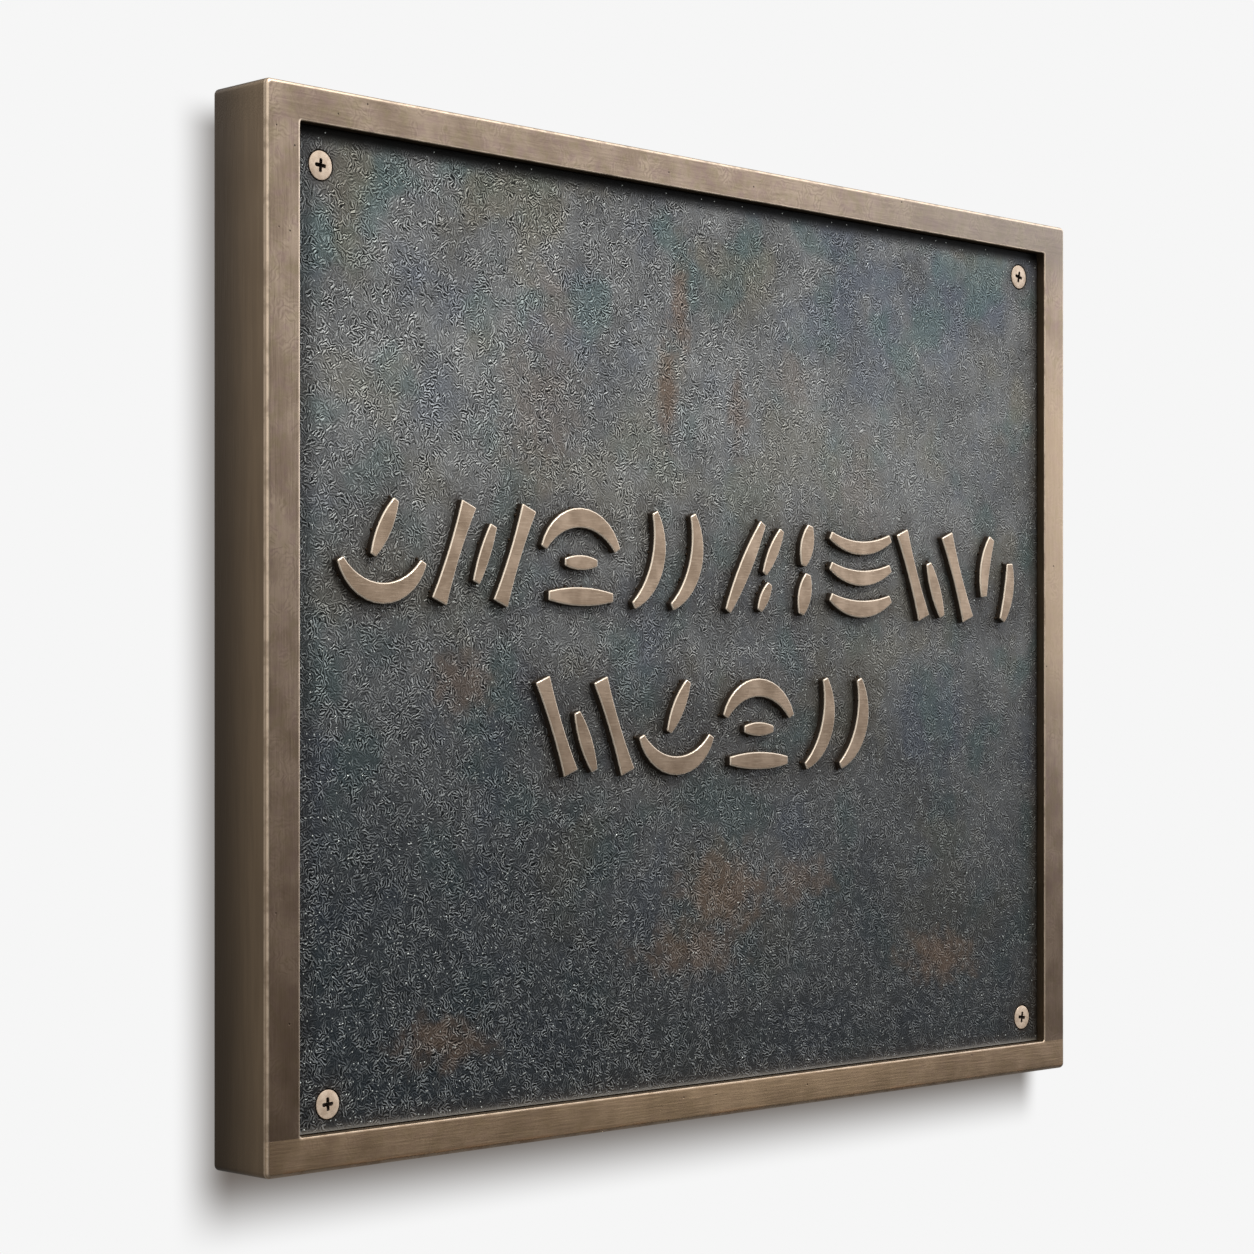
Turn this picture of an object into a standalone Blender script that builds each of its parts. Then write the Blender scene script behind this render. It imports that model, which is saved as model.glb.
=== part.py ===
"""Address plaque: a bronze frame round a cast plate, held in it by four countersunk screws.

Metres, +Z up. The front faces -Y. The origin is on the back face of the frame's top rail,
half way along it, where the plaque touches the wall.
"""
import math
from collections import namedtuple

import bmesh
import bpy

# Fit between pieces that touch
CLEARANCE = 0.0003

# Frame
PLAQUE_WIDTH = 0.3048
PLAQUE_HEIGHT = 0.254
PLAQUE_DEPTH = 0.020
SIDE_RAIL_WIDTH = 0.0099
CROSS_RAIL_WIDTH = 0.0087
CORNER_RADIUS = 0.0015
FRONT_EDGE_RADIUS = 0.001
BACK_EDGE_RADIUS = 0.0006
INNER_EDGE_BEVEL = 0.0003
INNER_CORNER_RADIUS = 0.0008
LEDGE_WIDTH = 0.004
LEDGE_THICKNESS = 0.004
BOSS_SIZE = 0.0165
BOSS_CORNER_RADIUS = 0.003
BOSS_SETBACK = 0.0005

# Plate
FACE_RECESS = 0.0028
PLATE_THICKNESS = 0.0032
PLATE_EDGE_BEVEL = 0.0005

# Raised strokes, in two rows measured from the middle of the plate
RELIEF = 0.0018
CASTING_DRAFT = 0.0002
STROKE_ROOT = 0.001
ROW_1_HEIGHT = 0.0248
ROW_1_LENGTH = 0.260
ROW_1_CENTRE = (0.0, 0.0197)
ROW_2_HEIGHT = 0.0244
ROW_2_LENGTH = 0.130
ROW_2_CENTRE = (0.0012, -0.0230)
# Clear width between two marks, as a share of the row's height
MARK_GAP = 0.18

# Screws
HEAD_RADIUS = 0.00355
HEAD_RIM = 0.0003
HEAD_EDGE_BEVEL = 0.00015
HEAD_CONE_DEPTH = 0.0018
SHANK_RADIUS = 0.00175
SCREW_LENGTH = 0.0125
POINT_LENGTH = 0.0015
RECESS_SPAN = 0.0034
RECESS_SLOT = 0.0008
RECESS_FOOT_SPAN = 0.0014
RECESS_FOOT_SLOT = 0.0005
RECESS_DEPTH = 0.0014
# Where each hole was drilled, inwards from the frame's inner walls: across, then up or down
SCREW_INSETS = {
    "screw_top_left": (0.0084, 0.0091),
    "screw_top_right": (0.0090, 0.0078),
    "screw_bottom_left": (0.0106, 0.0066),
    "screw_bottom_right": (0.0075, 0.0076),
}
# How far each screw was turned before it was tight, in degrees
SCREW_TURNS = {
    "screw_top_left": 4.0,
    "screw_top_right": 12.0,
    "screw_bottom_left": -3.0,
    "screw_bottom_right": 8.0,
}

# Fineness of the round shapes
CORNER_STEPS = 4
EDGE_STEPS = 3
SCREW_STEPS = 32
STRAIGHT_STROKE_STEPS = 8
BENT_STROKE_STEPS = 14
CUTTER_OVERRUN = 0.001

# Places worked out from the sizes above
MIDDLE_Z = CROSS_RAIL_WIDTH / 2 - PLAQUE_HEIGHT / 2
OPENING_WIDTH = PLAQUE_WIDTH - 2 * SIDE_RAIL_WIDTH
OPENING_HEIGHT = PLAQUE_HEIGHT - 2 * CROSS_RAIL_WIDTH
FRONT_Y = -PLAQUE_DEPTH
PLATE_FACE_Y = FRONT_Y + FACE_RECESS
PLATE_BACK_Y = PLATE_FACE_Y + PLATE_THICKNESS
SEAT_Y = PLATE_BACK_Y + CLEARANCE

# One raised stroke: where its middle is, how long it is, how it tilts and bends (degrees), and
# how thick it is at its middle and its ends. Lengths are shares of the row's height.
Stroke = namedtuple("Stroke", "across up length tilt bend middle end")
Mark = namedtuple("Mark", "width strokes")

MARKS = {
    "bowl": Mark(1.10, (
        Stroke(0.00, -0.27, 1.30, 0, 125, 0.20, 0.08),
        Stroke(0.03, 0.21, 0.62, 62, 0, 0.17, 0.07),
    )),
    "arch": Mark(1.10, (
        Stroke(0.00, 0.26, 1.30, 0, -125, 0.20, 0.08),
        Stroke(0.00, -0.04, 0.46, 0, 0, 0.15, 0.07),
        Stroke(0.00, -0.39, 0.92, 0, 0, 0.19, 0.09),
    )),
    "moons": Mark(1.25, (
        Stroke(-0.33, 0.00, 1.14, 72, 85, 0.19, 0.08),
        Stroke(0.25, 0.00, 1.14, 72, 85, 0.19, 0.08),
    )),
    "leaning_right": Mark(1.22, (
        Stroke(-0.41, 0.00, 1.05, 68, 0, 0.15, 0.20),
        Stroke(0.00, 0.00, 0.62, 68, 0, 0.14, 0.09),
        Stroke(0.41, 0.00, 1.05, 68, 0, 0.15, 0.20),
    )),
    "leaning_left": Mark(1.22, (
        Stroke(-0.41, 0.00, 1.05, 112, 0, 0.15, 0.20),
        Stroke(0.00, -0.16, 0.66, 112, 0, 0.17, 0.08),
        Stroke(0.41, 0.00, 1.05, 112, 0, 0.15, 0.20),
    )),
    "slanted": Mark(0.94, (
        Stroke(-0.13, 0.00, 1.12, 60, 0, 0.18, 0.09),
        Stroke(0.32, 0.18, 0.56, 60, 0, 0.15, 0.07),
        Stroke(0.18, -0.32, 0.34, 60, 0, 0.14, 0.07),
    )),
    "drops": Mark(0.42, (
        Stroke(0.02, 0.27, 0.46, 76, 0, 0.21, 0.08),
        Stroke(-0.02, -0.27, 0.46, 76, 0, 0.21, 0.08),
    )),
    "waves": Mark(1.10, (
        Stroke(0.00, 0.34, 1.08, 0, 55, 0.15, 0.09),
        Stroke(0.00, 0.00, 1.08, 0, 55, 0.17, 0.09),
        Stroke(0.00, -0.35, 1.08, 0, 55, 0.19, 0.09),
    )),
    "steps": Mark(0.74, (
        Stroke(-0.20, 0.14, 0.72, 78, -35, 0.17, 0.10),
        Stroke(0.20, -0.15, 0.70, 78, 35, 0.17, 0.10),
    )),
}
ROW_1_MARKS = (
    "bowl", "leaning_right", "arch", "moons", "slanted", "drops", "waves", "leaning_left", "steps",
)
ROW_2_MARKS = ("leaning_left", "bowl", "arch", "moons")


def clear_scene():
    for item in list(bpy.data.objects):
        bpy.data.objects.remove(item, do_unlink=True)


def make_material(name, colour, roughness, metallic):
    material = bpy.data.materials.new(name)
    material.use_nodes = True
    shader = material.node_tree.nodes["Principled BSDF"]
    shader.inputs["Base Color"].default_value = (*colour, 1.0)
    shader.inputs["Roughness"].default_value = roughness
    shader.inputs["Metallic"].default_value = metallic
    return material


def add_object(name, mesh_data, material=None, parent=None):
    """Turn a bmesh into a named object with one material."""
    mesh = bpy.data.meshes.new(name)
    bmesh.ops.recalc_face_normals(mesh_data, faces=mesh_data.faces)
    mesh_data.to_mesh(mesh)
    mesh_data.free()
    if material:
        mesh.materials.append(material)
    item = bpy.data.objects.new(name, mesh)
    item.parent = parent
    bpy.context.collection.objects.link(item)
    return item


def hide_as_cutter(item):
    item.hide_render = True
    item.display_type = "WIRE"


def combine(item, other, operation):
    """Join another object to an item, or cut it out, with a live Boolean."""
    modifier = item.modifiers.new(other.name, "BOOLEAN")
    modifier.operation = operation
    modifier.solver = "EXACT"
    modifier.object = other
    hide_as_cutter(other)


def rounded_rectangle(width, height, radius, centre=(0.0, MIDDLE_Z)):
    """Points round a rectangle with round corners, as (x, z), anticlockwise from the right."""
    corners = ((1, -1, -90), (1, 1, 0), (-1, 1, 90), (-1, -1, 180))
    points = []
    for side_x, side_z, start in corners:
        corner_x = centre[0] + side_x * (width / 2 - radius)
        corner_z = centre[1] + side_z * (height / 2 - radius)
        for step in range(CORNER_STEPS + 1):
            angle = math.radians(start + 90 * step / CORNER_STEPS)
            points.append((corner_x + radius * math.cos(angle), corner_z + radius * math.sin(angle)))
    return points


def add_loop(mesh_data, outline, y):
    return [mesh_data.verts.new((x, y, z)) for x, z in outline]


def bridge(mesh_data, first, second):
    """Fill the band between two loops that have the same number of points."""
    count = len(first)
    for index in range(count):
        following = (index + 1) % count
        mesh_data.faces.new((first[index], first[following], second[following], second[index]))


def add_prism(mesh_data, outlines, levels):
    """A closed solid through one outline at each level, capped flat at both ends."""
    loops = [add_loop(mesh_data, outline, y) for outline, y in zip(outlines, levels)]
    for first, second in zip(loops, loops[1:]):
        bridge(mesh_data, first, second)
    mesh_data.faces.new(loops[0])
    mesh_data.faces.new(loops[-1])


def quarter_round(radius, start_degrees):
    """Offsets along a quarter of a circle about its own centre."""
    angles = [math.radians(start_degrees + 90 * step / EDGE_STEPS) for step in range(EDGE_STEPS + 1)]
    return [(radius * math.cos(angle), radius * math.sin(angle)) for angle in angles]


def outer_profile():
    """The frame's outer sides as (distance in from the side, y, corner radius), back to front."""
    section = []
    for across, along in quarter_round(BACK_EDGE_RADIUS, 90):
        inset = BACK_EDGE_RADIUS + across
        section.append((inset, -BACK_EDGE_RADIUS + along, CORNER_RADIUS - inset))
    for across, along in quarter_round(FRONT_EDGE_RADIUS, 180):
        inset = FRONT_EDGE_RADIUS + across
        section.append((inset, FRONT_Y + FRONT_EDGE_RADIUS + along, CORNER_RADIUS - inset))
    return section


def inner_profile():
    """The opening as (distance in from the inner wall, y, corner radius), front to back."""
    ledge_back = SEAT_Y + LEDGE_THICKNESS
    return [
        (-INNER_EDGE_BEVEL, FRONT_Y, INNER_CORNER_RADIUS + INNER_EDGE_BEVEL),
        (0.0, FRONT_Y + INNER_EDGE_BEVEL, INNER_CORNER_RADIUS),
        (0.0, SEAT_Y, INNER_CORNER_RADIUS),
        (LEDGE_WIDTH, SEAT_Y, INNER_CORNER_RADIUS),
        (LEDGE_WIDTH, ledge_back, INNER_CORNER_RADIUS),
        (0.0, ledge_back, INNER_CORNER_RADIUS),
        (0.0, 0.0, INNER_CORNER_RADIUS),
    ]


def screw_place(name):
    """The middle of a screw's head on the plate's face."""
    side_x = 1 if name.endswith("right") else -1
    side_z = 1 if "top" in name else -1
    inset_x, inset_z = SCREW_INSETS[name]
    x = side_x * (OPENING_WIDTH / 2 - inset_x)
    z = MIDDLE_Z + side_z * (OPENING_HEIGHT / 2 - inset_z)
    return (x, PLATE_FACE_Y, z)


def add_turned(mesh_data, profile, place, steps):
    """A solid turned about an axis along Y, from (radius, y from the place) points."""
    verts = [mesh_data.verts.new((place[0] + r, place[1] + y, place[2])) for r, y in profile]
    edges = [mesh_data.edges.new(pair) for pair in zip(verts, verts[1:])]
    bmesh.ops.spin(
        mesh_data,
        geom=verts + edges,
        cent=place,
        axis=(0.0, 1.0, 0.0),
        angle=math.tau,
        steps=steps,
        use_merge=True,
    )
    bmesh.ops.remove_doubles(mesh_data, verts=mesh_data.verts, dist=0.000001)


def screw_profile():
    return [
        (0.0, 0.0),
        (HEAD_RADIUS - HEAD_EDGE_BEVEL, 0.0),
        (HEAD_RADIUS, HEAD_EDGE_BEVEL),
        (HEAD_RADIUS, HEAD_RIM),
        (SHANK_RADIUS, HEAD_RIM + HEAD_CONE_DEPTH),
        (SHANK_RADIUS, SCREW_LENGTH - POINT_LENGTH),
        (0.0, SCREW_LENGTH),
    ]


def screw_hole_profile():
    """The screw's own shape grown by the clearance, open through the front."""
    hole_radius = SHANK_RADIUS + CLEARANCE
    head_hole_radius = HEAD_RADIUS + CLEARANCE
    return [
        (0.0, -CUTTER_OVERRUN),
        (head_hole_radius, -CUTTER_OVERRUN),
        (head_hole_radius, HEAD_RIM),
        (hole_radius, HEAD_RIM + HEAD_CONE_DEPTH),
        (hole_radius, SCREW_LENGTH + CLEARANCE),
        (0.0, SCREW_LENGTH + CLEARANCE),
    ]


def make_screw_holes():
    """One cutter for all four holes, through the plate and into the frame's bosses."""
    mesh_data = bmesh.new()
    for name in SCREW_INSETS:
        add_turned(mesh_data, screw_hole_profile(), screw_place(name), SCREW_STEPS)
    return add_object("screw_holes", mesh_data)


def make_bosses():
    """The four corner blocks behind the plate that the screws bite into."""
    mesh_data = bmesh.new()
    width = BOSS_SIZE + SIDE_RAIL_WIDTH / 2
    height = BOSS_SIZE + CROSS_RAIL_WIDTH / 2
    front = SEAT_Y + CLEARANCE
    for side_x in (-1, 1):
        for side_z in (-1, 1):
            x = side_x * (OPENING_WIDTH / 2 - BOSS_SIZE + width / 2)
            z = MIDDLE_Z + side_z * (OPENING_HEIGHT / 2 - BOSS_SIZE + height / 2)
            outline = rounded_rectangle(width, height, BOSS_CORNER_RADIUS, (x, z))
            add_prism(mesh_data, (outline, outline), (front, -BOSS_SETBACK))
    return add_object("corner_bosses", mesh_data)


def make_frame(parent, screw_holes):
    mesh_data = bmesh.new()
    loops = []
    for inset, y, radius in outer_profile():
        outline = rounded_rectangle(PLAQUE_WIDTH - 2 * inset, PLAQUE_HEIGHT - 2 * inset, radius)
        loops.append(add_loop(mesh_data, outline, y))
    for inset, y, radius in inner_profile():
        outline = rounded_rectangle(OPENING_WIDTH - 2 * inset, OPENING_HEIGHT - 2 * inset, radius)
        loops.append(add_loop(mesh_data, outline, y))
    for first, second in zip(loops, loops[1:] + loops[:1]):
        bridge(mesh_data, first, second)
    bronze = make_material("satin_bronze", (0.30, 0.21, 0.15), 0.42, 1.0)
    frame = add_object("frame", mesh_data, bronze, parent)
    combine(frame, make_bosses(), "UNION")
    combine(frame, screw_holes, "DIFFERENCE")
    return frame


def centre_line(stroke, share):
    """A point on a stroke's middle line and the way across it there; share runs from -1 to 1."""
    tilt = math.radians(stroke.tilt)
    bend = math.radians(stroke.bend)
    if bend:
        radius = stroke.length / bend
        turned = share * bend / 2
        along = radius * math.sin(turned)
        aside = radius * (1 - math.cos(turned)) - radius * (1 - math.cos(bend / 2)) / 2
    else:
        turned = 0.0
        along = share * stroke.length / 2
        aside = 0.0
    x = stroke.across + along * math.cos(tilt) - aside * math.sin(tilt)
    z = stroke.up + along * math.sin(tilt) + aside * math.cos(tilt)
    heading = tilt + turned
    return (x, z), (-math.sin(heading), math.cos(heading))


def stroke_outline(stroke, scale, centre, growth):
    """The outline of one stroke at its real size, grown outwards all round."""
    sides = ([], [])
    share_grown = growth / scale[1]
    end_growth = 1 + 2 * share_grown / stroke.length
    steps = BENT_STROKE_STEPS if stroke.bend else STRAIGHT_STROKE_STEPS
    for step in range(steps + 1):
        share = 2 * step / steps - 1
        point, across = centre_line(stroke, share * end_growth)
        thickness = stroke.end + (stroke.middle - stroke.end) * (1 - share * share)
        half = thickness / 2 + share_grown
        for side, sign in zip(sides, (1, -1)):
            x = centre[0] + (point[0] + sign * across[0] * half) * scale[0]
            z = centre[1] + (point[1] + sign * across[1] * half) * scale[1]
            side.append((x, z))
    return sides[0] + sides[1][::-1]


def add_row(mesh_data, names, height, length, row_centre):
    """A row of marks, drawn in shares of its height and stretched across to its length."""
    widths = [MARKS[name].width for name in names]
    drawn_length = sum(widths) + MARK_GAP * (len(names) - 1)
    scale = (length / drawn_length, height)
    levels = (PLATE_FACE_Y + STROKE_ROOT, PLATE_FACE_Y, PLATE_FACE_Y - RELIEF)
    start = -drawn_length / 2
    for name, width in zip(names, widths):
        middle = start + width / 2
        centre = (row_centre[0] + middle * scale[0], MIDDLE_Z + row_centre[1])
        for stroke in MARKS[name].strokes:
            foot = stroke_outline(stroke, scale, centre, CASTING_DRAFT)
            top = stroke_outline(stroke, scale, centre, 0.0)
            add_prism(mesh_data, (foot, foot, top), levels)
        start += width + MARK_GAP


def make_strokes():
    mesh_data = bmesh.new()
    add_row(mesh_data, ROW_1_MARKS, ROW_1_HEIGHT, ROW_1_LENGTH, ROW_1_CENTRE)
    add_row(mesh_data, ROW_2_MARKS, ROW_2_HEIGHT, ROW_2_LENGTH, ROW_2_CENTRE)
    return add_object("raised_strokes", mesh_data)


def make_plate(parent, screw_holes):
    """The cast plate, with its strokes cast on it and its corners drilled for the screws."""
    mesh_data = bmesh.new()
    width = OPENING_WIDTH - 2 * CLEARANCE
    height = OPENING_HEIGHT - 2 * CLEARANCE
    bevel = PLATE_EDGE_BEVEL
    full = rounded_rectangle(width, height, INNER_CORNER_RADIUS)
    eased = rounded_rectangle(width - 2 * bevel, height - 2 * bevel, INNER_CORNER_RADIUS)
    add_prism(mesh_data, (full, full, eased), (PLATE_BACK_Y, PLATE_FACE_Y + bevel, PLATE_FACE_Y))
    patina = make_material("dark_patina", (0.055, 0.075, 0.085), 0.6, 0.6)
    plate = add_object("face_plate", mesh_data, patina, parent)
    combine(plate, make_strokes(), "UNION")
    combine(plate, screw_holes, "DIFFERENCE")
    return plate


def make_cross_recess(name):
    """A cutter for the cross in a screw's head: two bars that narrow towards their foot."""
    x, y, z = screw_place(name)
    turn = math.radians(SCREW_TURNS[name])
    top = cross_outline(RECESS_SPAN, RECESS_SLOT, turn, (x, z))
    foot = cross_outline(RECESS_FOOT_SPAN, RECESS_FOOT_SLOT, turn, (x, z))
    mesh_data = bmesh.new()
    add_prism(mesh_data, (top, top, foot), (y - CUTTER_OVERRUN, y, y + RECESS_DEPTH))
    return add_object(name + "_recess", mesh_data)


def cross_outline(span, slot, turn, centre):
    """Twelve points round a cross, turned by an angle about its centre."""
    arm = span / 2
    half = slot / 2
    quarter = ((arm, -half), (arm, half), (half, half))
    points = []
    for index in range(4):
        angle = turn + index * math.pi / 2
        for across, up in quarter:
            x = centre[0] + across * math.cos(angle) - up * math.sin(angle)
            z = centre[1] + across * math.sin(angle) + up * math.cos(angle)
            points.append((x, z))
    return points


def make_screw(name, parent):
    mesh_data = bmesh.new()
    add_turned(mesh_data, screw_profile(), screw_place(name), SCREW_STEPS)
    brass = make_material(name + "_metal", (0.42, 0.33, 0.24), 0.35, 1.0)
    screw = add_object(name, mesh_data, brass, parent)
    combine(screw, make_cross_recess(name), "DIFFERENCE")
    screw.data.shade_smooth()
    screw.data.set_sharp_from_angle(angle=math.radians(30))
    return screw


def build():
    clear_scene()
    plaque = bpy.data.objects.new("plaque", None)
    bpy.context.collection.objects.link(plaque)
    screw_holes = make_screw_holes()
    make_frame(plaque, screw_holes)
    make_plate(plaque, screw_holes)
    for name in SCREW_INSETS:
        make_screw(name, plaque)


build()
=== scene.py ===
"""Looks of the bronze address plaque: a satin frame round a dark patinated cast plate.

Metres, +Z up, front facing -Y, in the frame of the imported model.
"""

import math

import bmesh
import bpy
import numpy as np
from mathutils import Matrix, Vector, kdtree, noise


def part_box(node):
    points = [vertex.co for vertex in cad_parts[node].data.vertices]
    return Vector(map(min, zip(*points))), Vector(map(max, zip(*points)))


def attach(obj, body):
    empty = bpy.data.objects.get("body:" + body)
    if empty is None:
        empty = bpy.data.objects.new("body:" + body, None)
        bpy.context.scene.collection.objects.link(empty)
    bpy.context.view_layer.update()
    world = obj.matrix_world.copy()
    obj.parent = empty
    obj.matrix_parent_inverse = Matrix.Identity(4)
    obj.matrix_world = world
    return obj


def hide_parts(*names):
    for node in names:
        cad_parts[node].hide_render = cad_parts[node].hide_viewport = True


MM = 0.001

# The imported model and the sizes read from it
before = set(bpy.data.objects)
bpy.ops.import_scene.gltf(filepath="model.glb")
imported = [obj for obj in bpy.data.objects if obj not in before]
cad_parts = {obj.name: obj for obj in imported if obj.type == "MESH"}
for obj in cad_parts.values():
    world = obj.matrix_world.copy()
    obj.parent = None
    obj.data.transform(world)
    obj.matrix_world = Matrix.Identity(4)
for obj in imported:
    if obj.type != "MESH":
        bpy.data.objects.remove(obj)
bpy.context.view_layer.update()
FRAME_LOW, FRAME_HIGH = (Vector(corner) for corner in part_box("frame"))
PLATE_LOW, PLATE_HIGH = (Vector(corner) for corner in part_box("face_plate"))
SCREW_NODES = ("screw_top_left", "screw_top_right", "screw_bottom_left", "screw_bottom_right")
SCREW_BOXES = [[Vector(corner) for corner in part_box(name)] for name in SCREW_NODES]

CLEARANCE = 0.3 * MM
MERGE_DISTANCE = 0.001 * MM
CAD_MERGE_DISTANCE = 0.002 * MM
MIDDLE_Z = (FRAME_LOW.z + FRAME_HIGH.z) / 2
PLAQUE_WIDTH = FRAME_HIGH.x - FRAME_LOW.x
PLAQUE_HEIGHT = FRAME_HIGH.z - FRAME_LOW.z
FRONT_Y = FRAME_LOW.y
BACK_Y = FRAME_HIGH.y
SIDE_RAIL_WIDTH = FRAME_HIGH.x - PLATE_HIGH.x - CLEARANCE
CROSS_RAIL_WIDTH = FRAME_HIGH.z - PLATE_HIGH.z - CLEARANCE
PLATE_FACE_Y = SCREW_BOXES[0][0].y
PLATE_BACK_Y = PLATE_HIGH.y
SEAT_Y = PLATE_BACK_Y + CLEARANCE
RELIEF = PLATE_FACE_Y - PLATE_LOW.y
HEAD_RADIUS = (SCREW_BOXES[0][1].x - SCREW_BOXES[0][0].x) / 2
SCREW_LENGTH = SCREW_BOXES[0][1].y - SCREW_BOXES[0][0].y

# Frame details
CORNER_RADIUS = 1.5 * MM
FRONT_EDGE_RADIUS = 1.0 * MM
BACK_EDGE_RADIUS = 0.6 * MM
INNER_EDGE_RADIUS = 0.2 * MM
INNER_CORNER_RADIUS = 0.8 * MM
LEDGE_WIDTH = 4.0 * MM
LEDGE_THICKNESS = 4.0 * MM
BOSS_SIZE = 16.5 * MM
BOSS_CORNER_RADIUS = 3.0 * MM
BOSS_SETBACK = 0.5 * MM
RUBBED_MARGIN = 0.2 * MM
INNER_RUBBED_MARGIN = 0.4 * MM
FACE_CORNER_RADIUS = 0.4 * MM
RAIL_STEP = 1.6 * MM
CORNER_STEPS = 8
EDGE_STEPS = 8
INNER_EDGE_STEPS = 3
# How bright each step round the front edge is painted: rubbed metal together with a painted highlight
EDGE_WEAR_AND_HIGHLIGHT = (0.6, 0.62, 0.5, 0.4, 0.6, 1.0, 1.0, 0.55, 0.1)
HAND_FINISH = 0.05 * MM
HAND_FINISH_LENGTH = 9 * MM
HAND_FINISH_RIPPLE = 2.5 * MM
FRAME_PIT_SPACING = 4.5 * MM
BRUSH_DEPTH = 0.05 * MM
BRUSH_WIDTH = 0.55 * MM
BRUSH_LENGTH = 8 * MM
BRUSH_ACROSS = (1 / BRUSH_LENGTH, 1 / BRUSH_WIDTH, 1 / BRUSH_WIDTH)
BRUSH_UP = (1 / BRUSH_WIDTH, 1 / BRUSH_WIDTH, 1 / BRUSH_LENGTH)

# Plate details
GRAIN_STEP = 0.86 * MM
GRAIN_JITTER = 0.18
GRAIN_SEED = 11
UNEVENNESS = 0.1 * MM
UNEVENNESS_LENGTH = 24 * MM
CRINKLE = 0.07 * MM
CRINKLE_LENGTH = 2.6 * MM
RIDGE_DEPTH = 0.22 * MM
SPECK_SPACING = 1.4 * MM
LIP_WIDTH = 0.9 * MM
CUTTER_ENDS = (-1.0 * MM, 5.0 * MM)
COUNTERSINK_DEPTH = 2.1 * MM
SHANK_HOLE_RADIUS = 2.05 * MM

# Stroke details
STROKE_ROUNDING = 0.28 * MM
STROKE_RIM = 0.38 * MM
STROKE_ROOT = 0.6 * MM
SANDING_DEPTH = 0.04 * MM
NUB_SHARE = 0.16
NUB_RADII = (0.25 * MM, 0.5 * MM)
NUB_SINK = 0.05 * MM
NUB_SEED = 5

# Screw details
SCREW_SIDES = 48
SHANK_RADIUS = 1.75 * MM
HEAD_RIM = 0.3 * MM
HEAD_CONE_DEPTH = 1.8 * MM
HEAD_ROUNDING = 0.3 * MM
HEAD_STEPS = 3
POINT_LENGTH = 1.5 * MM
RECESS_ARM = 1.7 * MM
RECESS_SLOT = 0.95 * MM
RECESS_DEPTH = 1.3 * MM
RECESS_LEVELS = ((-0.5 * MM, 1.0), (0.0, 1.0), (0.45 * MM, 0.8), (RECESS_DEPTH, 0.35))
SCREW_TURNS = (4.0, 12.0, -3.0, 8.0)

# The plaque's shadow on the wall: from full to none past each of its edges, and its depth
SHADOW_LEFT = (-6 * MM, 12.5 * MM)
SHADOW_RIGHT = (4 * MM, 14 * MM)
SHADOW_BELOW = (0.5 * MM, 21.5 * MM)
SHADOW_ABOVE = (-10 * MM, -1 * MM)
SHADOW_DEPTH = 0.88
WALL_REACH = 3.0
WALL_GAP = 0.3 * MM

# Camera, fitted to the corners of the frame's face in the photograph
IMAGE_SIZE = 1254
HORIZON_ROW = 709.65
LENS_MM = 85.37
SENSOR_MM = 36.0
CAMERA_PLACE = Vector((-0.57787, -0.56173, -0.14138))
CAMERA_HEADING = 44.94
NEAR_CLIP = 20 * MM


def srgb(text):
    """A colour written as #rrggbb, as the linear values that a shader takes."""
    values = [int(text[start:start + 2], 16) / 255 for start in (1, 3, 5)]
    linear = [v / 12.92 if v <= 0.04045 else ((v + 0.055) / 1.055) ** 2.4 for v in values]
    return (*linear, 1.0)


def add_node(tree, kind, inputs=None, **settings):
    """Adds a node, with its settings, and with each input either linked or given a value."""
    node = tree.nodes.new(kind)
    for name, value in settings.items():
        setattr(node, name, value)
    for key, value in (inputs or {}).items():
        if isinstance(value, bpy.types.NodeSocket):
            tree.links.new(value, node.inputs[key])
        else:
            node.inputs[key].default_value = value
    return node


def new_material(name):
    """An empty material, its node tree and the object coordinates that its patterns use."""
    material = bpy.data.materials.new(name)
    material.use_nodes = True
    tree = material.node_tree
    tree.nodes.clear()
    place = add_node(tree, "ShaderNodeTexCoord").outputs["Object"]
    return material, tree, place


def finish_material(tree, shader):
    add_node(tree, "ShaderNodeOutputMaterial", {"Surface": shader.outputs[0]})


def pattern(tree, place, size_mm, detail=3.0, roughness=0.55, stretch=(1, 1, 1), shift=(0, 0, 0)):
    """Noise whose blotches are about size_mm across, from 0 to 1."""
    scale = tuple(1 / (size_mm * MM * part) for part in stretch)
    placed = add_node(tree, "ShaderNodeMapping", {"Vector": place, "Scale": scale, "Location": shift})
    inputs = {"Vector": placed.outputs[0], "Scale": 1.0, "Detail": detail, "Roughness": roughness}
    return add_node(tree, "ShaderNodeTexNoise", inputs).outputs["Fac"]


def between(tree, value, low, high, to_low=0.0, to_high=1.0):
    """Maps a value from the range low to high, smoothly and clamped, to another range."""
    inputs = {0: value, 1: low, 2: high, 3: to_low, 4: to_high}
    return add_node(
        tree, "ShaderNodeMapRange", inputs, interpolation_type="SMOOTHSTEP"
    ).outputs["Result"]


def maths(tree, operation, first, second=0.0, third=0.0):
    node = add_node(tree, "ShaderNodeMath", operation=operation)
    for index, value in enumerate((first, second, third)):
        if isinstance(value, bpy.types.NodeSocket):
            tree.links.new(value, node.inputs[index])
        else:
            node.inputs[index].default_value = value
    return node.outputs[0]


def product(tree, first, *others):
    """Several values multiplied together."""
    for other in others:
        first = maths(tree, "MULTIPLY", first, other)
    return first


def mix(tree, amount, first, second):
    """Mixes two colours, each a socket or a hex text."""
    inputs = {
        0: amount,
        6: srgb(first) if isinstance(first, str) else first,
        7: srgb(second) if isinstance(second, str) else second,
    }
    return add_node(tree, "ShaderNodeMix", inputs, data_type="RGBA").outputs[2]


def mix_values(tree, amount, first, second):
    inputs = {0: amount, 2: first, 3: second}
    return add_node(tree, "ShaderNodeMix", inputs, data_type="FLOAT").outputs[0]


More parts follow.
